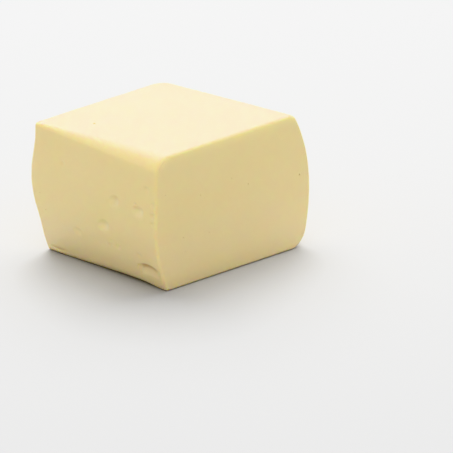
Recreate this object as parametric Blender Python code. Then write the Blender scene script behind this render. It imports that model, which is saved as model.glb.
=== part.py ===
"""A block of mozzarella, cut across a loaf that leans and sags a little.

X runs along the loaf, from one cut to the other, -Y is the moulded front and +Z is up.
The block stands on its flat base, with the origin under the middle of its outline.
"""

import math

import bmesh
import bpy
from mathutils import Vector

MM = 0.001
NAME = "mozzarella_block"

# Driving dimensions, in metres
LENGTH = 136.6 * MM                 # along X, between the rims of the two cuts
DEPTH = 147.5 * MM                  # along Y, across the top
HEIGHT = 105.6 * MM                 # from the base to the rim of the top

# How the loaf sags
CROWN = 2.6 * MM                    # the middle of the top stands this far above its rim
NEAR_LIFT = 0.8 * MM                # the top rises this much from the -X cut to the +X cut
FRONT_UNDERCUT = 4.6 * MM           # the front's foot stands this far behind the top's edge
FRONT_BOW = 2.8 * MM                # its middle swells this far beyond the line between them
FRONT_BOW_FADE = 0.43               # share of that swelling that is gone at the -X cut
FRONT_TURN = 0.027                  # it turns out towards the +X cut by this slope
FOOT_TUCK = 8.1 * MM                # the front's foot is drawn in this far as well
FOOT_TUCK_BELOW = 51.0 * MM         # from this height down
BACK_SPREAD = 5.0 * MM              # the back's foot stands this far beyond the top's edge
BACK_BOW = 13.3 * MM
BACK_BOW_LIFT = 0.12                # share by which its swelling leans to the upper half
BELLY = 0.6 * MM                    # front and back swell along the loaf too

# How the two cuts lie
CUT_EDGE_REACH = 2.8 * MM           # the moulded sides droop this close to a cut
CUT_EDGE_INSET = 2.0 * MM           # by this much across
CUT_EDGE_DROOP = 2.0 * MM           # and by this much up and down
BACK_CORNER_REACH = 13.4 * MM       # they droop further where the -X cut meets the back
BACK_CORNER_INSET = 20.6 * MM
CUT_DOME = 0.8 * MM                 # the cut faces rise a little to their middle
FAR_CUT_SPREAD = 1.7 * MM           # foot of the -X cut, beyond its rim
FAR_CUT_TURN = 0.053                # the -X cut runs out of square by this slope
FAR_CORNER_SWELL = 5.6 * MM         # its corner with the front swells this far, to none at the back
FAR_CORNER_SWELL_AT = 60.5 * MM     # height of that swelling's middle
FAR_CORNER_SWELL_HALF = 37.2 * MM   # and half its height
NEAR_CUT_SPREAD = 1.1 * MM          # foot of the +X cut, beyond its rim
NEAR_CUT_TURN = 0.063               # its foot runs out of square by this slope

# Long edges rounded by the mould
TOP_FRONT_RADIUS = 12.5 * MM        # at the +X cut
TOP_FRONT_RADIUS_FAR = 2.6 * MM     # it tightens evenly to this at the -X cut
TOP_BACK_RADIUS = 4.9 * MM
BASE_FRONT_RADIUS = 7.1 * MM        # the widest it gets
BASE_FRONT_RADIUS_FAR = 1.9 * MM    # at the -X cut
BASE_FRONT_REACH_FAR = 100.0 * MM   # it tightens within this distance of that cut
BASE_FRONT_RADIUS_NEAR = 2.1 * MM   # at the +X cut
BASE_FRONT_REACH_NEAR = 35.0 * MM
BASE_BACK_RADIUS = 12.0 * MM

# Rows of faces along X, Y and Z, and how many of them lie in each rounded edge
SEGMENTS = (24, 26, 22)
CUT_EDGE_ROWS = 5
MOULD_EDGE_ROWS = 4
FINER_WITHIN = (5.5, 2.8, 1.3)      # faces are halved three times, this many mm round each dent

# Dents in the moulded sides: side (-1 front, 1 back), then in mm the place along X, the height of
# the deepest point, the half width, the reach above and below it and the depth; last, the tilt in degrees
DENTS = (
    (-1, 23.4, 65.0, 7.2, 4.4, 5.8, 1.55, -2.0),
    (-1, 48.8, 62.6, 6.4, 4.2, 5.8, 1.60, -14.0),
    (-1, 10.4, 42.3, 7.2, 5.0, 6.0, 1.40, 2.0),
    (-1, -33.5, 80.8, 4.0, 2.8, 4.0, 0.65, 0.0),
    (-1, 57.4, 81.8, 3.8, 2.8, 4.8, 0.85, 0.0),
    (-1, -22.0, 29.0, 6.0, 4.0, 6.0, 0.60, 0.0),
    (-1, 22.9, 27.6, 3.6, 2.8, 3.8, 0.80, -10.0),
    (1, -36.0, 61.0, 6.0, 4.0, 7.4, 1.40, 0.0),
    (1, 19.0, 73.0, 3.8, 2.8, 4.6, 0.90, 0.0),
    (1, 38.0, 41.0, 6.8, 4.2, 8.0, 1.30, 8.0),
)

# A crease in the front, near its lower corner: it arches between its two ends
CREASE_START_X = 42.8 * MM
CREASE_END_X = 58.6 * MM
CREASE_HEIGHT = 18.3 * MM
CREASE_ARCH = 1.9 * MM              # its ends lie this far below its middle
CREASE_REACH_ABOVE = 2.4 * MM
CREASE_REACH_BELOW = 4.0 * MM
CREASE_DEPTH = 1.9 * MM             # at its middle
CREASE_END_SHARE = 0.5              # share of that depth left at its ends

CHEESE_COLOUR = (0.90, 0.79, 0.52, 1.0)
CHEESE_ROUGHNESS = 0.42


def mix(low, high, share):
    return low + (high - low) * share


def ease(share):
    share = max(0.0, min(1.0, share))
    return share * share * (3.0 - 2.0 * share)


def spread(unit, half, radius, edge_rows, segments):
    """Place a coordinate of the unit cube, with its outer rows inside the rounded edge."""
    flat = 1.0 - 2.0 * edge_rows / segments
    reach = abs(unit)
    if reach <= flat:
        return unit / flat * (half - radius)
    return math.copysign(half - radius + radius * (reach - flat) / (1.0 - flat), unit)


def front_radii(x):
    """Radii of the base's and the top's front edge at one place along the loaf."""
    from_far = LENGTH / 2 + x
    to_near = LENGTH / 2 - x
    top = mix(TOP_FRONT_RADIUS_FAR, TOP_FRONT_RADIUS, from_far / LENGTH)
    base = mix(BASE_FRONT_RADIUS_FAR, BASE_FRONT_RADIUS, ease(from_far / BASE_FRONT_REACH_FAR))
    tightened = ease(1.0 - to_near / BASE_FRONT_REACH_NEAR)
    base -= (BASE_FRONT_RADIUS - BASE_FRONT_RADIUS_NEAR) * tightened
    return base, top


def round_long_edge(y, z, radius):
    """Draw the square corner of the loaf's section onto an arc."""
    over_y = abs(y) - (DEPTH / 2 - radius)
    over_z = abs(z) - (HEIGHT / 2 - radius)
    if over_y <= 0.0 or over_z <= 0.0:
        return y, z
    pull = max(over_y, over_z) / math.hypot(over_y, over_z)
    y = math.copysign(DEPTH / 2 - radius + over_y * pull, y)
    z = math.copysign(HEIGHT / 2 - radius + over_z * pull, z)
    return y, z


def plain_section(unit, x, back_share):
    """Place a point in the loaf's section at x, a rectangle with rounded corners."""
    base_front, top_front = front_radii(x)
    if unit.y < 0.0:
        base_radius, top_radius = base_front, top_front
    else:
        base_radius, top_radius = BASE_BACK_RADIUS, TOP_BACK_RADIUS
    if unit.z < 0.0:
        corner_radius = base_radius
        level_radius = mix(base_front, BASE_BACK_RADIUS, back_share)
    else:
        corner_radius = top_radius
        level_radius = mix(top_front, TOP_BACK_RADIUS, back_share)
    side_radius = mix(base_radius, top_radius, (unit.z + 1.0) / 2)
    y = spread(unit.y, DEPTH / 2, side_radius, MOULD_EDGE_ROWS, SEGMENTS[1])
    z = spread(unit.z, HEIGHT / 2, level_radius, MOULD_EDGE_ROWS, SEGMENTS[2])
    return round_long_edge(y, z, corner_radius)


def shaped(unit):
    """Carry a point on the unit cube to its place on the block."""
    back_share = (unit.y + 1.0) / 2
    reach = CUT_EDGE_REACH
    full_inset = CUT_EDGE_INSET
    if unit.x < 0.0:
        reach = mix(CUT_EDGE_REACH, BACK_CORNER_REACH, back_share ** 2)
        full_inset = mix(CUT_EDGE_INSET, BACK_CORNER_INSET, back_share ** 2)

    # A plain loaf with rounded long edges
    x = spread(unit.x, LENGTH / 2, reach, CUT_EDGE_ROWS, SEGMENTS[0])
    y, z = plain_section(unit, x, back_share)

    # Drooping edges round both cuts, and the slight dome of the cut faces
    into_edge = (abs(x) - (LENGTH / 2 - reach)) / reach
    if into_edge > 0.0:
        angle = min(into_edge, 1.0) * math.pi / 2
        drooped = 1.0 - math.cos(angle)
        x = math.copysign(LENGTH / 2 - reach * (1.0 - math.sin(angle)), x)
        y *= 1.0 - full_inset * drooped / (DEPTH / 2)
        z *= 1.0 - CUT_EDGE_DROOP * drooped / (HEIGHT / 2)
    if into_edge > 1.0 - 1e-4:
        x += math.copysign(CUT_DOME * (1.0 - unit.y ** 2) * (1.0 - unit.z ** 2), x)

    # The sag: each side is a line from foot to rim plus its swelling
    up = z / HEIGHT + 0.5
    along = x / LENGTH + 0.5
    across = y / DEPTH + 0.5
    hump = 4.0 * up * (1.0 - up)
    belly = BELLY * hump * (1.0 - (2.0 * x / LENGTH) ** 2)
    front_bow = FRONT_BOW * hump * (1.0 - FRONT_BOW_FADE * (1.0 - along))
    tuck = FOOT_TUCK * max(0.0, 1.0 - up * HEIGHT / FOOT_TUCK_BELOW) ** 2
    front = -DEPTH / 2 + FRONT_UNDERCUT * (1.0 - up) - FRONT_TURN * x - front_bow - belly + tuck
    back_bow = BACK_BOW * hump * (1.0 + BACK_BOW_LIFT * (2.0 * up - 1.0))
    back = DEPTH / 2 + BACK_SPREAD * (1.0 - up) + back_bow + belly
    near_cut = LENGTH / 2 + (NEAR_CUT_SPREAD + NEAR_CUT_TURN * y) * (1.0 - up)
    from_swell = (up * HEIGHT - FAR_CORNER_SWELL_AT) / FAR_CORNER_SWELL_HALF
    corner_swell = FAR_CORNER_SWELL * max(0.0, 1.0 - from_swell ** 2) ** 2 * (1.0 - across)
    far_cut = -LENGTH / 2 - FAR_CUT_SPREAD * (1.0 - up) - FAR_CUT_TURN * y - corner_swell
    crown = CROWN * (1.0 - (2.0 * x / LENGTH) ** 2) * (1.0 - (2.0 * y / DEPTH) ** 2) * up ** 4
    height = z + HEIGHT / 2 + crown + NEAR_LIFT * along * up
    return Vector((mix(far_cut, near_cut, along), mix(front, back, across), height))


def dent_distance(place, side, dent):
    """How many dent sizes a point on one side lies from the deepest point of a dent."""
    dent_side, along, height, half_width, above, below, _, tilt = dent
    if side != dent_side:
        return math.inf
    turn = math.radians(tilt)
    off_x = place.x / MM - along
    off_z = place.z / MM - height
    across = off_x * math.cos(turn) + off_z * math.sin(turn)
    upward = off_z * math.cos(turn) - off_x * math.sin(turn)
    return math.hypot(across / half_width, upward / (above if upward > 0.0 else below))


def crease_place(place):
    """Where a point lies by the crease: its share of the half length, then how many reaches off."""
    middle = (CREASE_START_X + CREASE_END_X) / 2
    half_length = (CREASE_END_X - CREASE_START_X) / 2
    along = max(-1.0, min(1.0, (place.x - middle) / half_length))
    beyond = place.x - middle - along * half_length
    upward = place.z - CREASE_HEIGHT + CREASE_ARCH * along ** 2
    reach = CREASE_REACH_ABOVE if upward > 0.0 else CREASE_REACH_BELOW
    return along, math.hypot(beyond / CREASE_REACH_ABOVE, upward / reach)


def hollow_depth(place, side):
    """How far a moulded side is pressed in at a point."""
    depth = 0.0
    for dent in DENTS:
        depth += dent[6] * MM * max(0.0, 1.0 - dent_distance(place, side, dent) ** 2) ** 2
    if side == -1:
        along, off = crease_place(place)
        at_middle = CREASE_DEPTH * max(0.0, 1.0 - off ** 2) ** 2
        depth += at_middle * (1.0 - (1.0 - CREASE_END_SHARE) * along ** 2)
    return depth


def mm_outside(place, side):
    """How far outside the nearest dent or the crease a point lies, in mm; below 0 inside."""
    nearest = min((dent_distance(place, side, dent) - 1.0) * dent[3] for dent in DENTS)
    if side == -1:
        nearest = min(nearest, (crease_place(place)[1] - 1.0) * CREASE_REACH_BELOW / MM)
    return nearest


def outline_middle(mesh):
    """The point under the middle of the outline that the shaped block will have."""
    places = [shaped(vert.co) for vert in mesh.verts]
    low = Vector([min(place[axis] for place in places) for axis in range(3)])
    high = Vector([max(place[axis] for place in places) for axis in range(3)])
    return Vector(((low.x + high.x) / 2, (low.y + high.y) / 2, low.z))


def cut_rows(mesh):
    """Divide the cube's edges along X, Y and Z into the rows of the block."""
    for axis, segments in enumerate(SEGMENTS):
        edges = []
        for edge in mesh.edges:
            run = edge.verts[0].co - edge.verts[1].co
            if abs(run[axis]) > 1.0:
                edges.append(edge)
        bmesh.ops.subdivide_edges(mesh, edges=edges, cuts=segments - 1, use_grid_fill=True)


def halve_faces_near_dents(mesh, middle):
    """Give the dents and the crease faces that are small enough for their curves."""
    clear_of_cuts = 1.0 - 2.0 * CUT_EDGE_ROWS / SEGMENTS[0]
    for margin in FINER_WITHIN:
        edges = set()
        for face in mesh.faces:
            centre = face.calc_center_median()
            if abs(centre.y) < 0.999 or abs(centre.x) > clear_of_cuts:
                continue
            side = -1 if centre.y < 0.0 else 1
            if mm_outside(shaped(centre) - middle, side) < margin:
                edges.update(face.edges)
        bmesh.ops.subdivide_edges(mesh, edges=list(edges), cuts=1, use_grid_fill=True)


def press_dents(mesh):
    """Press the dents and the crease into the moulded sides, square to their surface."""
    mesh.normal_update()
    pressed = {}
    for vert in mesh.verts:
        if abs(vert.normal.y) > 0.3:
            side = -1 if vert.normal.y < 0.0 else 1
            pressed[vert] = vert.normal * hollow_depth(vert.co, side)
    for vert, step in pressed.items():
        vert.co -= step


def cheese_material():
    material = bpy.data.materials.new("fresh_cheese")
    material.use_nodes = True
    shader = material.node_tree.nodes["Principled BSDF"]
    shader.inputs["Base Color"].default_value = CHEESE_COLOUR
    shader.inputs["Roughness"].default_value = CHEESE_ROUGHNESS
    shader.inputs["Metallic"].default_value = 0.0
    return material


def mozzarella_block(collection):
    mesh = bmesh.new()
    bmesh.ops.create_cube(mesh, size=2.0)
    cut_rows(mesh)
    middle = outline_middle(mesh)
    halve_faces_near_dents(mesh, middle)
    for vert in mesh.verts:
        vert.co = shaped(vert.co) - middle
    press_dents(mesh)
    bmesh.ops.recalc_face_normals(mesh, faces=mesh.faces)

    data = bpy.data.meshes.new(NAME)
    mesh.to_mesh(data)
    mesh.free()
    data.shade_smooth()
    data.materials.append(cheese_material())
    block = bpy.data.objects.new(NAME, data)
    collection.objects.link(block)
    return block


def main():
    for old in list(bpy.data.objects):
        bpy.data.objects.remove(old, do_unlink=True)
    collection = bpy.data.collections.new("mozzarella")
    bpy.context.scene.collection.children.link(collection)
    mozzarella_block(collection)


main()
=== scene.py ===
import math

import bmesh
import bpy
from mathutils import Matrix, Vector
from mathutils.bvhtree import BVHTree


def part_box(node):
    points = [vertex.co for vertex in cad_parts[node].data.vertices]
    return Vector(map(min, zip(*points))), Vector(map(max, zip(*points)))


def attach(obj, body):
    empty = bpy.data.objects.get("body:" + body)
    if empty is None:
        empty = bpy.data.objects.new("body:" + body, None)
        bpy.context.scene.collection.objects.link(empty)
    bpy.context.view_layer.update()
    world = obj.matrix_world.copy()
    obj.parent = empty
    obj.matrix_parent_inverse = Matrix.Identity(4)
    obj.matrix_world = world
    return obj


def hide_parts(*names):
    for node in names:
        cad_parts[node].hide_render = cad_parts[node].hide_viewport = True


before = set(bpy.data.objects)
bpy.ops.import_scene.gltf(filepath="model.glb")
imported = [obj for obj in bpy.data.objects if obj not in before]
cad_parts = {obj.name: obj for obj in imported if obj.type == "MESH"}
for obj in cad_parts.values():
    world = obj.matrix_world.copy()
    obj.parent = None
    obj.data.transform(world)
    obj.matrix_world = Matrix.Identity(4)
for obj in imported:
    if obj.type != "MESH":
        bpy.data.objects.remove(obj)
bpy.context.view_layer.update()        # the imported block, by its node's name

mm = 0.001
nodeName = "mozzarella_block"
blockLow, blockHigh = (Vector(corner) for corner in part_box(nodeName))
blockSides = blockHigh - blockLow
print("frame loaded, the block measures", [round(side / mm, 1) for side in blockSides], "mm")


# The block is a length of loaf between two cuts, leaning and sagging a little.
blockForm = {
    "length": 136.6 * mm,           # along X, between the rims of the two cuts
    "depth": 147.5 * mm,            # along Y, across the top
    "height": 105.6 * mm,           # base to the rim of the top
    "crown": 2.6 * mm,              # rise of the top's middle
    "frontUndercut": 4.6 * mm,      # the front's foot stands behind the top's edge
    "frontBow": 2.8 * mm,           # and its middle swells out
    "frontBowFade": 0.43,           # share of that swelling gone at the -X cut
    "frontTurn": 0.027,             # the front runs out of square, drawing in to the -X cut
    "footTuck": 8.1 * mm,           # the front's foot is drawn in as well
    "footTuckBelow": 51.0 * mm,     # from this height down
    "frontEase": 0.45 * mm,         # it eases in to the +X cut over its last stretch
    "frontEaseReach": 10.0 * mm,    # which is this long
    "backSpread": 5.0 * mm,         # the back's foot stands beyond the top's edge
    "backBow": 13.3 * mm,           # and its middle swells out
    "backLift": 0.12,               # its swelling leans to the upper half
    "belly": 0.6 * mm,              # front and back swell along the loaf too
    "cutEdge": 2.8 * mm,            # the moulded sides droop this close to a cut
    "cutEdgeInset": 2.0 * mm,       # by this much across
    "cutEdgeDroop": 2.0 * mm,       # and this much up and down
    "nearLift": 0.8 * mm,           # the top rises this much to the +X cut
    "cutBackEdge": 13.4 * mm,       # more where the -X cut meets the back
    "cutBackInset": 20.6 * mm,
    "cutDome": 0.8 * mm,            # the cuts' middles stand out
    "farSpread": 1.7 * mm,          # foot of the -X cut, beyond its rim
    "farTurn": 0.053,               # this cut runs out of square
    "cornerSwell": 5.6 * mm,        # and swells at its corner with the front
    "cornerSwellAt": 60.5 * mm,     # most at this height
    "cornerSwellHalf": 37.2 * mm,   # fading out this far above and below it
    "nearSpread": 1.1 * mm,         # foot of the +X cut, beyond its rim
    "nearTurn": 0.063,              # which stands out more to the back
    "topFrontRound": 12.5 * mm,     # long edges rounded by the mould
    "topBackRound": 4.9 * mm,
    "baseFrontRound": 7.1 * mm,
    "baseBackRound": 12.0 * mm,
    "topFarRound": 2.6 * mm,        # the top's front edge tightens all along to the -X cut
    "baseFarRound": 1.9 * mm,       # the base's front edge towards both cuts, each within its reach
    "baseFarReach": 100.0 * mm,
    "baseNearRound": 2.1 * mm,
    "baseNearReach": 35.0 * mm,
    "rows": (84, 100, 76),          # rows of faces along X, Y and Z
    "cutEdgeRows": 7,               # of which this many turn a cut's edge
    "mouldEdgeRows": 10,            # and this many a moulded edge
}


def mix(low, high, share):
    return low + (high - low) * share


def ease(share):
    share = max(0.0, min(1.0, share))
    return share * share * (3.0 - 2.0 * share)


def spread(unit, half, radius, edgeRows, rows):
    flat = 1.0 - 2.0 * edgeRows / rows              # share of the side between its rounded edges
    reach = abs(unit)
    if reach <= flat:
        return unit / flat * (half - radius)
    return math.copysign(half - radius + radius * (reach - flat) / (1.0 - flat), unit)


def frontRounds(x):
    form = blockForm
    fromFar, toNear = form["length"] / 2 + x, form["length"] / 2 - x
    top = mix(form["topFarRound"], form["topFrontRound"], fromFar / form["length"])
    base = mix(form["baseFarRound"], form["baseFrontRound"], ease(fromFar / form["baseFarReach"]))
    base -= (form["baseFrontRound"] - form["baseNearRound"]) * ease(1.0 - toNear / form["baseNearReach"])
    return base, top


def shapedPoint(unit):
    form = blockForm
    halfX, halfY, halfZ = form["length"] / 2, form["depth"] / 2, form["height"] / 2
    backShare, topShare = (unit.y + 1.0) / 2, (unit.z + 1.0) / 2
    cutEdge, cutInset = form["cutEdge"], form["cutEdgeInset"]
    if unit.x < 0.0:
        cutEdge = mix(cutEdge, form["cutBackEdge"], backShare ** 2)
        cutInset = mix(cutInset, form["cutBackInset"], backShare ** 2)
    x = spread(unit.x, halfX, cutEdge, form["cutEdgeRows"], form["rows"][0])

    frontBase, frontTop = frontRounds(x)
    backBase, backTop = form["baseBackRound"], form["topBackRound"]
    sideBase, sideTop = (frontBase, frontTop) if unit.y < 0.0 else (backBase, backTop)
    corner = sideBase if unit.z < 0.0 else sideTop
    levels = (frontBase, backBase) if unit.z < 0.0 else (frontTop, backTop)
    y = spread(unit.y, halfY, mix(sideBase, sideTop, topShare), form["mouldEdgeRows"], form["rows"][1])
    z = spread(unit.z, halfZ, mix(levels[0], levels[1], backShare), form["mouldEdgeRows"], form["rows"][2])

    overY, overZ = abs(y) - (halfY - corner), abs(z) - (halfZ - corner)
    if overY > 0.0 and overZ > 0.0:                 # draw the square corner onto an arc
        pull = max(overY, overZ) / math.hypot(overY, overZ)
        y = math.copysign(halfY - corner + overY * pull, y)
        z = math.copysign(halfZ - corner + overZ * pull, z)

    intoEdge = (abs(x) - (halfX - cutEdge)) / cutEdge
    if intoEdge > 0.0:                              # the knife's soft edge
        angle = min(intoEdge, 1.0) * math.pi / 2
        inset = cutInset * (1.0 - math.cos(angle))
        x = math.copysign(halfX - cutEdge * (1.0 - math.sin(angle)), x)
        y *= 1.0 - inset / halfY
        z *= 1.0 - form["cutEdgeDroop"] * (1.0 - math.cos(angle)) / halfZ
    if intoEdge > 0.9999:
        x += math.copysign(form["cutDome"] * (1.0 - unit.y ** 2) * (1.0 - unit.z ** 2), x)

    up, along, across = z / form["height"] + 0.5, x / form["length"] + 0.5, y / form["depth"] + 0.5
    hump = 4.0 * up * (1.0 - up)
    belly = form["belly"] * hump * (1.0 - (x / halfX) ** 2)
    frontBow = form["frontBow"] * hump * (1.0 - form["frontBowFade"] * (1.0 - along))
    tuck = form["footTuck"] * max(0.0, 1.0 - up * form["height"] / form["footTuckBelow"]) ** 2
    easeIn = form["frontEase"] * max(0.0, 1.0 - (halfX - x) / form["frontEaseReach"]) ** 2
    front = (-halfY + form["frontUndercut"] * (1.0 - up) - form["frontTurn"] * x - frontBow - belly
             + tuck + easeIn)
    backBow = form["backBow"] * hump * (1.0 + form["backLift"] * (2.0 * up - 1.0))
    back = halfY + form["backSpread"] * (1.0 - up) + backBow + belly
    nearCut = halfX + (form["nearSpread"] + form["nearTurn"] * y) * (1.0 - up)
    fromSwell = (up * form["height"] - form["cornerSwellAt"]) / form["cornerSwellHalf"]
    cornerSwell = form["cornerSwell"] * max(0.0, 1.0 - fromSwell ** 2) ** 2 * (1.0 - across)
    farCut = -halfX - form["farSpread"] * (1.0 - up) - form["farTurn"] * y - cornerSwell
    crown = form["crown"] * (1.0 - (x / halfX) ** 2) * (1.0 - (y / halfY) ** 2) * up ** 4
    lift = form["nearLift"] * along * up
    return Vector((mix(farCut, nearCut, along), mix(front, back, across), z + halfZ + crown + lift))


# Dents, creases and lips of the moulded sides.
moulding = {
    # side (-1 front, 1 back), then in mm: along X, height of the deepest point, half width, reach above
    # it, reach below it, depth; then the tilt in degrees
    "dents": (
        (-1, 22.8, 65.0, 6.4, 4.0, 5.6, 1.55, 14.0),
        (-1, 48.4, 62.8, 6.6, 4.0, 5.8, 1.65, -2.0),
        (-1, 45.8, 67.6, 1.5, 1.2, 1.8, 0.80, 0.0),
        (-1, 9.8, 42.5, 7.4, 4.6, 6.0, 1.55, 16.0),
        (-1, 63.4, 71.2, 3.0, 1.9, 4.0, 0.65, 0.0),
        (-1, 62.9, 63.0, 3.0, 1.8, 3.2, 0.80, 0.0),
        (-1, 62.4, 56.0, 2.4, 1.5, 3.0, 0.65, 0.0),
        (-1, -33.5, 81.1, 3.6, 2.0, 3.8, 0.70, 0.0),
        (-1, 57.4, 82.0, 3.6, 2.2, 4.8, 0.75, 0.0),
        (-1, -22.0, 29.0, 6.0, 3.4, 6.0, 0.60, 0.0),
        (-1, 22.9, 27.8, 3.4, 2.0, 3.8, 0.75, -10.0),
        (-1, 13.7, 27.2, 3.2, 1.8, 3.2, 0.50, 0.0),
        (-1, 17.1, 31.0, 2.0, 1.4, 2.4, 0.35, 0.0),
        (-1, 44.9, 26.6, 3.6, 2.0, 3.8, 0.45, -10.0),
        (1, -36.0, 61.0, 6.0, 3.2, 7.4, 1.40, 0.0),
        (1, 19.0, 73.0, 3.8, 2.2, 4.6, 0.90, 0.0),
        (1, 38.0, 41.0, 6.8, 3.4, 8.0, 1.30, 8.0),
    ),
    # in mm: first X, last X, height at the middle, rise to its ends, reach above, reach below, depth;
    # then the lip below it: how far below, half width, height
    "creases": (
        (42.8, 60.4, 17.8, -1.9, 2.8, 7.5, 2.10, 9.0, 3.2, 0.10),
        (-58.5, -43.0, 5.0, 0.8, 0.8, 2.0, 0.50, 2.8, 1.6, 0.25),
    ),
    "creaseFade": (0.2, 0.4),       # shares that a crease loses to its last X, and to both its ends
    "halvings": (1.5, 1.1),         # faces are halved twice, this many dent sizes around
    "dentHighlightLow": 0.4,                 # the painted highlight lies this share of a dent's lower reach below its middle
    "dentHighlightDepth": 1.4,               # mm, a dent this deep has it in full
    "creaseShadeHigh": 0.2,                # the painted shade lies this share of a crease's upper reach above its line
    "creaseShadeWidth": 0.95,              # and is this share of that reach wide
    "creaseShadeDepth": 2.0,               # mm, a crease this deep has it in full
    "rimGlowReach": 2.6 * mm,           # how far below the cuts' top edges the painted glow reaches
}


def dentsOn(side):
    return [dent for dent in moulding["dents"] if dent[0] == side]


# How far a place lies from a dent's deepest point, where 1 is the dent's rim.
def dentOffset(x, height, dent):
    _, dentX, dentHeight, halfWidth, above, below, _, tilt = dent
    turn = math.radians(tilt)
    offX, offZ = x - dentX, height - dentHeight
    across = offX * math.cos(turn) + offZ * math.sin(turn)
    upward = offZ * math.cos(turn) - offX * math.sin(turn)
    return math.hypot(across / halfWidth, upward / (above if upward > 0.0 else below))


# Where a place lies along a crease, from -1 to 1, and how far beyond its ends and above its line.
def creaseOffset(x, height, crease):
    firstX, lastX, middleHeight, rise, above, below = crease[:6]
    middle, half = (firstX + lastX) / 2, (lastX - firstX) / 2
    along = max(-1.0, min(1.0, (x - middle) / half))
    upward = height - middleHeight - rise * along ** 2
    return along, x - middle - along * half, upward


def pressedBy(place, side):
    x, height = place.x / mm, place.z / mm
    pressed = 0.0
    for dent in dentsOn(side):
        depth = dent[6]
        pressed += depth * max(0.0, 1.0 - dentOffset(x, height, dent) ** 2) ** 2
    if side < 0:
        fadeLast, fadeEnds = moulding["creaseFade"]
        for crease in moulding["creases"]:
            above, below, depth, lipBelow, lipWidth, lipHeight = crease[4:]
            along, beyond, upward = creaseOffset(x, height, crease)
            off = math.hypot(beyond / above, upward / (above if upward > 0.0 else below))
            lipOff = math.hypot(beyond, upward + lipBelow) / lipWidth
            groove = depth * max(0.0, 1.0 - off ** 2) ** (1 if upward > 0.0 else 2)    # softer below
            lip = lipHeight * max(0.0, 1.0 - lipOff ** 2) ** 2
            pressed += (groove - lip) * (1.0 - fadeLast * along - fadeEnds * along ** 2)
    return pressed * mm


# Painted highlight: how much of the lighter colour lies on a dent's lower wall, which faces up to the
# light.
def dentHighlightAt(place, side):
    x, height = place.x / mm, place.z / mm
    most = 0.0
    for dent in dentsOn(side):
        below, depth = dent[5:7]
        off = dentOffset(x, height + moulding["dentHighlightLow"] * below, dent)
        most = max(most, min(1.0, depth / moulding["dentHighlightDepth"]) ** 2 * max(0.0, 1.0 - off ** 2))
    return most


# Painted shade: how much of the darker colour lies in a crease's groove, where shade falls.
def creaseShadeAt(place, side):
    if side > 0:
        return 0.0
    deepest = 0.0
    for crease in moulding["creases"]:
        above, _, depth = crease[4:7]
        along, beyond, upward = creaseOffset(place.x / mm, place.z / mm, crease)
        off = math.hypot(beyond, upward - moulding["creaseShadeHigh"] * above) / (moulding["creaseShadeWidth"] * above)
        fade = (1.0 - moulding["creaseFade"][0] * along) * (1.0 - along ** 4)
        share = fade * min(1.0, depth / moulding["creaseShadeDepth"])
        deepest = max(deepest, max(0.0, 1.0 - off ** 2) * share)
    return deepest


def dentSizesAway(place, side):
    x, height = place.x / mm, place.z / mm
    away = [dentOffset(x, height, dent) for dent in dentsOn(side)]
    if side < 0:
        for crease in moulding["creases"]:
            _, beyond, upward = creaseOffset(x, height, crease)
            away.append(math.hypot(beyond, upward) / crease[5])
    return min(away)


def makeBlockMesh():
    mesh = bmesh.new()
    bmesh.ops.create_cube(mesh, size=2.0)
    for axis, rows in enumerate(blockForm["rows"]):
        runs = [edge for edge in mesh.edges
                if abs(edge.verts[0].co[axis] - edge.verts[1].co[axis]) > 1.0]
        bmesh.ops.subdivide_edges(mesh, edges=runs, cuts=rows - 1, use_grid_fill=True)
    places = [shapedPoint(vert.co) for vert in mesh.verts]      # to stand the block on its base's middle
    low = Vector([min(place[axis] for place in places) for axis in range(3)])
    high = Vector([max(place[axis] for place in places) for axis in range(3)])
    shift = Vector(((low.x + high.x) / 2, (low.y + high.y) / 2, low.z))
    for reach in moulding["halvings"]:              # finer faces for the dents' curves
        edges = set()
        for face in mesh.faces:
            centre = face.calc_center_median()
            side = math.copysign(1, centre.y)
            if abs(centre.y) > 0.999 and dentSizesAway(shapedPoint(centre) - shift, side) < reach:
                edges.update(face.edges)
        bmesh.ops.subdivide_edges(mesh, edges=list(edges), cuts=1, use_grid_fill=True)
    # masks for the painted highlight in the dents, the painted shade in the creases and the painted glow
    # below the cuts' top edges
    dentHighlight, hollowShade, rimGlow = (mesh.verts.layers.float.new(name) for name in ("dentHighlight", "hollowShade", "rimGlow"))
    for vert in mesh.verts:
        place = shapedPoint(vert.co)
        if abs(vert.co.x) > 0.999:                  # on a cut
            # painted glow, fading below the cut's top edge
            belowEdge = shapedPoint(Vector((vert.co.x, vert.co.y, 1.0))).z - place.z
            vert[rimGlow] = math.exp(-belowEdge / moulding["rimGlowReach"])
        vert.co = place - shift
    mesh.normal_update()
    steps = []
    for vert in mesh.verts:
        if abs(vert.normal.y) > 0.3:                # on a moulded side
            side = math.copysign(1, vert.normal.y)
            steps.append((vert, vert.normal * pressedBy(vert.co, side)))
            vert[dentHighlight], vert[hollowShade] = dentHighlightAt(vert.co, side), creaseShadeAt(vert.co, side)
    for vert, step in steps:
        vert.co -= step
    bmesh.ops.recalc_face_normals(mesh, faces=mesh.faces)
    data = bpy.data.meshes.new("blockForm")
    mesh.to_mesh(data)
    mesh.free()
    data.shade_smooth()
    return data


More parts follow.
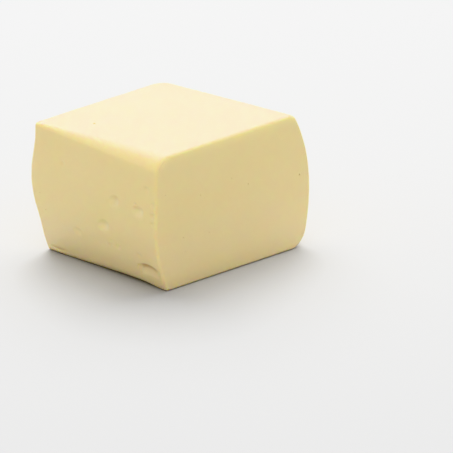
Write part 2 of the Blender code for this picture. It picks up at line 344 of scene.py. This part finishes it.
# Pinholes: marked one by one on the sides that show, scattered on the back and the far cut.
pinholes = {
    # face it lies in, its two places on that face in mm, then its radius in mm
    "marked": (
        ("nearCut", 13.0, 64.4, 0.60),
        ("nearCut", -4.5, 73.2, 0.50),
        ("nearCut", -37.6, 68.1, 0.50),
        ("nearCut", -55.1, 39.2, 0.45),
        ("nearCut", -73.5, 76.8, 0.40),
        ("nearCut", 70.1, 58.1, 0.80),
        ("nearCut", -28.6, 36.4, 0.40),
        ("nearCut", -52.7, 27.4, 0.40),
        ("top", -25.5, -53.8, 1.30),
        ("top", -49.5, -77.7, 0.50),
        ("front", -55.4, 37.8, 0.60),
        ("front", -60.3, 50.6, 0.55),
    ),
    "perSquareMetre": 500.0,        # of the scattered ones
    "gap": 14.0 * mm,               # at least this far apart
    "smallest": 0.45 * mm,          # radius
    "largest": 0.95 * mm,
    "sink": 0.4,                    # middles of the marked ones lie this share of a radius below the skin
    "shadeShare": 0.15,                   # share of the painted shade inside them
    "seed": 7,
}


def markPinholes(data):
    corners = [vert.co for vert in data.vertices]
    tree = BVHTree.FromPolygons(corners, [face.vertices for face in data.polygons])
    far = 1.0                                       # the rays start well off the block
    rays = {
        "nearCut": lambda a, b: (Vector((far, a, b)), Vector((-1, 0, 0))),
        "front": lambda a, b: (Vector((a, -far, b)), Vector((0, 1, 0))),
        "top": lambda a, b: (Vector((a, b, far)), Vector((0, 0, -1))),
    }
    places, sizes = [], []
    for face, first, second, radius in pinholes["marked"]:
        start, heading = rays[face](first * mm, second * mm)
        hit = tree.ray_cast(start, heading)[0]
        places.append(hit + heading * pinholes["sink"] * radius * mm)
        sizes.append(radius * mm)
    marks = bpy.data.meshes.new("pinholeMarks")
    marks.from_pydata(places, [], [])
    marks.attributes.new("pinholeSize", "FLOAT", "POINT").data.foreach_set("value", sizes)
    markObject = bpy.data.objects.new("pinholeMarks", marks)
    bpy.context.scene.collection.objects.link(markObject)
    return markObject


# The curd's skin, in Geometry Nodes: soft relief, then the pinholes cut into it.
skin = {
    "swellHeight": 0.12 * mm,       # broad unevenness
    "swellSize": 26.0 * mm,
    "lumpHeight": 0.05 * mm,        # the curd's lumps
    "lumpSize": 5.0 * mm,
    "reliefDetail": 2.0,
    "reliefRoughness": 0.45,
    "flatBelow": 6.0 * mm,          # the relief fades out towards the base, which stays flat
    "sideFrom": 0.7,                # a normal leaning this far one way belongs to that side
    "ballHalvings": 3,              # how round a pinhole is
    "sharpFrom": 38.0,              # degrees between two faces that keep a hard edge
}


def addNode(tree, kind, place, **settings):
    node = tree.nodes.new(kind)
    node.location = place
    for name, value in settings.items():
        setattr(node, name, value)
    return node


def addInput(tree, name, kind):
    tree.interface.new_socket(name=name, in_out="INPUT", socket_type=kind)


def mathNode(tree, operation, place, *values):
    node = addNode(tree, "ShaderNodeMath", place, operation=operation)
    for index, value in enumerate(values):
        if isinstance(value, bpy.types.NodeSocket):
            tree.links.new(value, node.inputs[index])
        else:
            node.inputs[index].default_value = value
    return node.outputs[0]


def makeSkinTree():
    tree = bpy.data.node_groups.new("curdSkin", "GeometryNodeTree")
    tree.interface.new_socket(name="Geometry", in_out="OUTPUT", socket_type="NodeSocketGeometry")
    addInput(tree, "Geometry", "NodeSocketGeometry")
    for name in ("Swell Height", "Swell Size", "Lump Height", "Lump Size"):
        addInput(tree, name, "NodeSocketFloat")
    addInput(tree, "Marked Pinholes", "NodeSocketObject")
    for name in ("Pinholes Per Square Metre", "Pinhole Gap", "Smallest Pinhole", "Largest Pinhole"):
        addInput(tree, name, "NodeSocketFloat")
    addInput(tree, "Pinhole Shade", "NodeSocketFloat")
    addInput(tree, "Seed", "NodeSocketInt")
    addInput(tree, "Finish", "NodeSocketMaterial")
    link = tree.links.new
    given = addNode(tree, "NodeGroupInput", (-1800, 0)).outputs
    made = addNode(tree, "NodeGroupOutput", (1600, 0)).inputs

    position = addNode(tree, "GeometryNodeInputPosition", (-1800, 400)).outputs[0]
    normal = addNode(tree, "GeometryNodeInputNormal", (-1800, 560)).outputs[0]

    def relief(sizeName, heightName, place):        # noise from -1 to 1, times its height
        noise = addNode(tree, "ShaderNodeTexNoise", place, noise_dimensions="3D")
        noise.inputs["Detail"].default_value = skin["reliefDetail"]
        noise.inputs["Roughness"].default_value = skin["reliefRoughness"]
        link(position, noise.inputs["Vector"])
        scale = mathNode(tree, "DIVIDE", (place[0] - 200, place[1]), 1.0, given[sizeName])
        link(scale, noise.inputs["Scale"])
        around = mathNode(tree, "MULTIPLY_ADD", (place[0] + 200, place[1]), noise.outputs[0], 2.0, -1.0)
        return mathNode(tree, "MULTIPLY", (place[0] + 400, place[1]), around, given[heightName])

    swell = relief("Swell Size", "Swell Height", (-1400, 600))
    lumps = relief("Lump Size", "Lump Height", (-1400, 300))
    parts = addNode(tree, "ShaderNodeSeparateXYZ", (-1400, 100))
    link(position, parts.inputs[0])
    offBase = addNode(tree, "ShaderNodeMapRange", (-1200, 100), interpolation_type="SMOOTHSTEP")
    offBase.inputs["From Max"].default_value = skin["flatBelow"]
    link(parts.outputs["Z"], offBase.inputs["Value"])
    height = mathNode(tree, "MULTIPLY", (-800, 400), mathNode(tree, "ADD", (-980, 400), swell, lumps),
                      offBase.outputs["Result"])
    step = addNode(tree, "ShaderNodeVectorMath", (-620, 400), operation="SCALE")
    link(normal, step.inputs[0])
    link(height, step.inputs["Scale"])
    raised = addNode(tree, "GeometryNodeSetPosition", (-420, 200))
    link(given["Geometry"], raised.inputs["Geometry"])
    link(step.outputs[0], raised.inputs["Offset"])

    facing = addNode(tree, "ShaderNodeSeparateXYZ", (-620, -200))
    link(normal, facing.inputs[0])
    onFarCut = mathNode(tree, "LESS_THAN", (-440, -160), facing.outputs["X"], -skin["sideFrom"])
    onBack = mathNode(tree, "GREATER_THAN", (-440, -320), facing.outputs["Y"], skin["sideFrom"])
    hidden = mathNode(tree, "MAXIMUM", (-260, -240), onFarCut, onBack)
    scatter = addNode(tree, "GeometryNodeDistributePointsOnFaces", (-60, -160),
                      distribute_method="POISSON")
    link(raised.outputs[0], scatter.inputs["Mesh"])
    link(hidden, scatter.inputs["Selection"])
    link(given["Pinhole Gap"], scatter.inputs["Distance Min"])
    link(given["Pinholes Per Square Metre"], scatter.inputs["Density Max"])
    link(given["Seed"], scatter.inputs["Seed"])

    ball = addNode(tree, "GeometryNodeMeshIcoSphere", (-60, -480))
    ball.inputs["Radius"].default_value = 1.0
    ball.inputs["Subdivisions"].default_value = skin["ballHalvings"]
    anySize = addNode(tree, "FunctionNodeRandomValue", (-60, -660), data_type="FLOAT")
    link(given["Smallest Pinhole"], anySize.inputs[2])
    link(given["Largest Pinhole"], anySize.inputs[3])
    link(given["Seed"], anySize.inputs["Seed"])
    scattered = addNode(tree, "GeometryNodeInstanceOnPoints", (180, -300))
    link(scatter.outputs["Points"], scattered.inputs["Points"])
    link(ball.outputs["Mesh"], scattered.inputs["Instance"])
    link(anySize.outputs[1], scattered.inputs["Scale"])

    marks = addNode(tree, "GeometryNodeObjectInfo", (-60, -900), transform_space="ORIGINAL")
    link(given["Marked Pinholes"], marks.inputs[0])
    markSize = addNode(tree, "GeometryNodeInputNamedAttribute", (-60, -1120), data_type="FLOAT")
    markSize.inputs["Name"].default_value = "pinholeSize"
    marked = addNode(tree, "GeometryNodeInstanceOnPoints", (180, -800))
    link(marks.outputs["Geometry"], marked.inputs["Points"])
    link(ball.outputs["Mesh"], marked.inputs["Instance"])
    link(markSize.outputs[0], marked.inputs["Scale"])

    balls = addNode(tree, "GeometryNodeJoinGeometry", (400, -400))
    link(scattered.outputs[0], balls.inputs[0])
    link(marked.outputs[0], balls.inputs[0])
    realBalls = addNode(tree, "GeometryNodeRealizeInstances", (580, -400))
    link(balls.outputs[0], realBalls.inputs[0])
    # the balls carry a share of the painted shade, which the cut leaves on the pinholes' walls
    shadedBalls = addNode(tree, "GeometryNodeStoreNamedAttribute", (580, -600), data_type="FLOAT",
                     domain="POINT")
    shadedBalls.inputs["Name"].default_value = "hollowShade"
    link(given["Pinhole Shade"], shadedBalls.inputs["Value"])
    link(realBalls.outputs[0], shadedBalls.inputs["Geometry"])
    pitted = addNode(tree, "GeometryNodeMeshBoolean", (780, 0), operation="DIFFERENCE", solver="MANIFOLD")
    link(raised.outputs[0], pitted.inputs["Mesh 1"])
    link(shadedBalls.outputs[0], pitted.inputs["Mesh 2"])
    real = addNode(tree, "GeometryNodeRealizeInstances", (1000, 0))
    link(pitted.outputs["Mesh"], real.inputs[0])
    smooth = addNode(tree, "GeometryNodeSetShadeSmooth", (1180, 0))
    link(real.outputs[0], smooth.inputs[0])
    finish = addNode(tree, "GeometryNodeSetMaterial", (1380, 0))
    link(smooth.outputs[0], finish.inputs["Geometry"])
    link(given["Finish"], finish.inputs["Material"])
    link(finish.outputs[0], made["Geometry"])
    return tree


def setInputs(modifier, values):
    for item in modifier.node_group.interface.items_tree:
        if item.item_type == "SOCKET" and item.in_out == "INPUT" and item.name in values:
            modifier[item.identifier] = values[item.name]


# Finish of the cheese.
curd = {
    "pale": (0.920, 0.752, 0.420),
    "yellow": (0.893, 0.736, 0.370),
    "yellowFrom": 14.0 * mm,        # the foot is paler, the upper part yellower
    "yellowTo": 62.0 * mm,
    "yellowShares": (0.1, 0.9),     # share of yellow at the foot and higher up
    "dentHighlight": (0.950, 0.785, 0.425),  # painted highlight on the dents' lower walls, which face up to the light
    "hollowShade": (0.72, 0.50, 0.22),     # painted shade deep in the creases and the pinholes
    "rimGlow": (1.0, 0.82, 0.405),      # painted glow below the cuts' top edges, standing in for light coming through
    "patchSize": 34.0 * mm,
    "patchRange": (0.3, 0.7),       # the noise between these two makes the patches
    "patchShare": 0.2,              # which shift the tone this much either way
    "fleckSize": 2.6 * mm,
    "fleckShare": 0.2,
    "roughness": 0.42,
    "fleckRoughness": 0.16,         # the flecks' part in it
    "refraction": 1.42,
    "moisture": 0.4,                # a thin moist coat
    "moistureRoughness": 0.36,
    "moistureRefraction": 1.36,
    "glow": (1.0, 1.40, 0.35),      # how far red, green and blue light travel, beside each other
    "glowDepth": 1.9 * mm,
    "grainSize": 0.9 * mm,
    "grainHeight": 0.06 * mm,
    "grainStrength": 0.5,
}


def makeCurdMaterial():
    material = bpy.data.materials.new("freshCurd")
    material.use_nodes = True
    tree = material.node_tree
    link = tree.links.new
    shader = tree.nodes["Principled BSDF"]
    shader.location = (600, 0)
    place = addNode(tree, "ShaderNodeTexCoord", (-1300, 0)).outputs["Object"]

    def noise(size, detail, where):
        node = addNode(tree, "ShaderNodeTexNoise", where)
        node.inputs["Scale"].default_value = 1.0 / size
        node.inputs["Detail"].default_value = detail
        link(place, node.inputs["Vector"])
        return node.outputs[0]

    def mapRange(value, where, given, wanted, curve="LINEAR"):
        node = addNode(tree, "ShaderNodeMapRange", where, interpolation_type=curve)
        link(value, node.inputs["Value"])
        node.inputs["From Min"].default_value, node.inputs["From Max"].default_value = given
        node.inputs["To Min"].default_value, node.inputs["To Max"].default_value = wanted
        return node.outputs["Result"]

    def mixColour(amount, where, under, over):
        node = addNode(tree, "ShaderNodeMix", where, data_type="RGBA")
        link(amount, node.inputs["Factor"])
        if isinstance(under, bpy.types.NodeSocket):
            link(under, node.inputs["A"])
        else:
            node.inputs["A"].default_value = (*under, 1.0)
        node.inputs["B"].default_value = (*over, 1.0)
        return node.outputs["Result"]

    # yellower higher up, with broad patches and small flecks
    parts = addNode(tree, "ShaderNodeSeparateXYZ", (-1080, 420))
    link(place, parts.inputs[0])
    rise = mapRange(parts.outputs["Z"], (-820, 420), (curd["yellowFrom"], curd["yellowTo"]),
                    curd["yellowShares"], "SMOOTHSTEP")
    patches = mapRange(noise(curd["patchSize"], 3.0, (-1080, 180)), (-820, 120), curd["patchRange"],
                       (-curd["patchShare"], curd["patchShare"]))
    flecks = mathNode(tree, "MULTIPLY_ADD", (-820, -180), noise(curd["fleckSize"], 2.0, (-1080, -180)),
                      2.0 * curd["fleckShare"], -curd["fleckShare"])
    uneven = mathNode(tree, "ADD", (-620, 0), patches, flecks)
    share = mathNode(tree, "ADD", (-440, 200), rise, uneven)
    share.node.use_clamp = True
    colour = mixColour(share, (-240, 200), curd["pale"], curd["yellow"])
    # painted highlight, painted shade and painted glow laid over the curd's colour
    for row, name in enumerate(("dentHighlight", "hollowShade", "rimGlow")):
        amount = addNode(tree, "ShaderNodeAttribute", (-240 + 200 * row, 460), attribute_name=name)
        colour = mixColour(amount.outputs["Fac"], (-40 + 200 * row, 200), colour, curd[name])
    link(colour, shader.inputs["Base Color"])

    rough = mathNode(tree, "MULTIPLY_ADD", (360, -120), flecks, curd["fleckRoughness"], curd["roughness"])
    link(rough, shader.inputs["Roughness"])
    bump = addNode(tree, "ShaderNodeBump", (360, -320))
    bump.inputs["Strength"].default_value = curd["grainStrength"]
    bump.inputs["Distance"].default_value = curd["grainHeight"]
    link(noise(curd["grainSize"], 3.0, (-1080, -460)), bump.inputs["Height"])
    link(bump.outputs["Normal"], shader.inputs["Normal"])

    shader.inputs["IOR"].default_value = curd["refraction"]
    shader.inputs["Coat Weight"].default_value = curd["moisture"]
    shader.inputs["Coat Roughness"].default_value = curd["moistureRoughness"]
    shader.inputs["Coat IOR"].default_value = curd["moistureRefraction"]
    shader.subsurface_method = "RANDOM_WALK"
    shader.inputs["Subsurface Weight"].default_value = 1.0
    shader.inputs["Subsurface Radius"].default_value = curd["glow"]
    shader.inputs["Subsurface Scale"].default_value = curd["glowDepth"]
    return material


def makeBlock():
    data = makeBlockMesh()
    print("block form made:", len(data.polygons), "faces")
    marks = markPinholes(data)
    bare = bpy.data.objects.new("bareBlock", data)
    bpy.context.scene.collection.objects.link(bare)
    modifier = bare.modifiers.new("curdSkin", "NODES")
    modifier.node_group = makeSkinTree()
    setInputs(modifier, {
        "Swell Height": skin["swellHeight"], "Swell Size": skin["swellSize"],
        "Lump Height": skin["lumpHeight"], "Lump Size": skin["lumpSize"],
        "Marked Pinholes": marks, "Pinholes Per Square Metre": pinholes["perSquareMetre"],
        "Pinhole Gap": pinholes["gap"], "Smallest Pinhole": pinholes["smallest"],
        "Largest Pinhole": pinholes["largest"], "Pinhole Shade": pinholes["shadeShare"],
        "Seed": pinholes["seed"], "Finish": makeCurdMaterial(),
    })
    graph = bpy.context.evaluated_depsgraph_get()
    final = bpy.data.meshes.new_from_object(bare.evaluated_get(graph))
    final.name = "mozzarellaBlock"
    finish = final.materials[-1]
    final.materials.clear()         # the cut leaves an empty slot before the finish
    final.materials.append(finish)
    final.polygons.foreach_set("material_index", [0] * len(final.polygons))
    final.set_sharp_from_angle(angle=math.radians(skin["sharpFrom"]))
    for helper in (bare, marks):
        bpy.data.objects.remove(helper, do_unlink=True)
    block = bpy.data.objects.new("mozzarellaBlock", final)
    bpy.context.scene.collection.objects.link(block)
    triangles = sum(len(face.vertices) - 2 for face in final.polygons)
    print("block skinned and pinholed:", triangles, "triangles,", len(final.materials), "finish")
    return block


# Pale floor, soft light and the camera.
studio = {
    "floorSide": 14.0,
    "floorColour": (0.46, 0.46, 0.46),
    "floorRoughness": 0.9,
    "skyColour": (1.0, 1.0, 1.0),
    "skyStrength": 0.45,
    "lights": {                     # place, side of its square, watts; each faces the block's middle
        "behind": ((-0.61, 0.66, 1.65), 2.3, 83.0),
        "lowBehind": ((-1.60, 1.72, 0.95), 1.6, 20.0),      # for the sheen on the top
        "front": ((1.10, -1.06, 1.75), 1.6, 16.7),
        "left": ((-0.60, -1.42, 0.62), 0.6, 1.3),
    },
    "aim": (55.58 * mm, 4.29 * mm, 29.57 * mm),     # the middle of the picture
    "azimuth": 42.7342,             # degrees from -Y towards +X
    "elevation": 19.6872,
    "distance": 1.96,
    "lens": 206.62,                 # mm, on a sensor 36 mm wide
}


def makeFloor():
    data = bpy.data.meshes.new("floor")
    mesh = bmesh.new()
    bmesh.ops.create_grid(mesh, x_segments=1, y_segments=1, size=studio["floorSide"] / 2)
    mesh.to_mesh(data)
    mesh.free()
    floor = bpy.data.objects.new("floor", data)
    bpy.context.scene.collection.objects.link(floor)
    material = bpy.data.materials.new("paleFloor")
    material.use_nodes = True
    shader = material.node_tree.nodes["Principled BSDF"]
    shader.inputs["Base Color"].default_value = (*studio["floorColour"], 1.0)
    shader.inputs["Roughness"].default_value = studio["floorRoughness"]
    data.materials.append(material)


def addSoftLight(name, place, side, power):
    lamp = bpy.data.lights.new(name, "AREA")
    lamp.shape = "SQUARE"
    lamp.size = side
    lamp.energy = power
    light = bpy.data.objects.new(name, lamp)
    light.location = place
    heading = Vector((0.0, 0.0, blockSides.z / 2)) - Vector(place)
    light.rotation_euler = heading.to_track_quat("-Z", "Y").to_euler()
    bpy.context.scene.collection.objects.link(light)


def makeStudio():
    makeFloor()
    scene = bpy.context.scene
    sky = bpy.data.worlds.new("softSky")
    sky.use_nodes = True
    sky.node_tree.nodes["Background"].inputs["Color"].default_value = (*studio["skyColour"], 1.0)
    sky.node_tree.nodes["Background"].inputs["Strength"].default_value = studio["skyStrength"]
    scene.world = sky
    for name, (place, side, power) in studio["lights"].items():
        addSoftLight(name, place, side, power)

    view = bpy.data.cameras.new("camera")
    view.lens = studio["lens"]
    camera = bpy.data.objects.new("camera", view)
    turn, rise = math.radians(studio["azimuth"]), math.radians(studio["elevation"])
    back = Vector((math.sin(turn) * math.cos(rise), -math.cos(turn) * math.cos(rise), math.sin(rise)))
    camera.location = Vector(studio["aim"]) + back * studio["distance"]
    camera.rotation_euler = back.to_track_quat("Z", "Y").to_euler()
    scene.collection.objects.link(camera)
    scene.camera = camera
    scene.view_settings.view_transform = "Khronos PBR Neutral"
    scene.view_settings.look = "None"


block = makeBlock()
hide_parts(nodeName)
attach(block, "root")
makeStudio()
print("studio set")
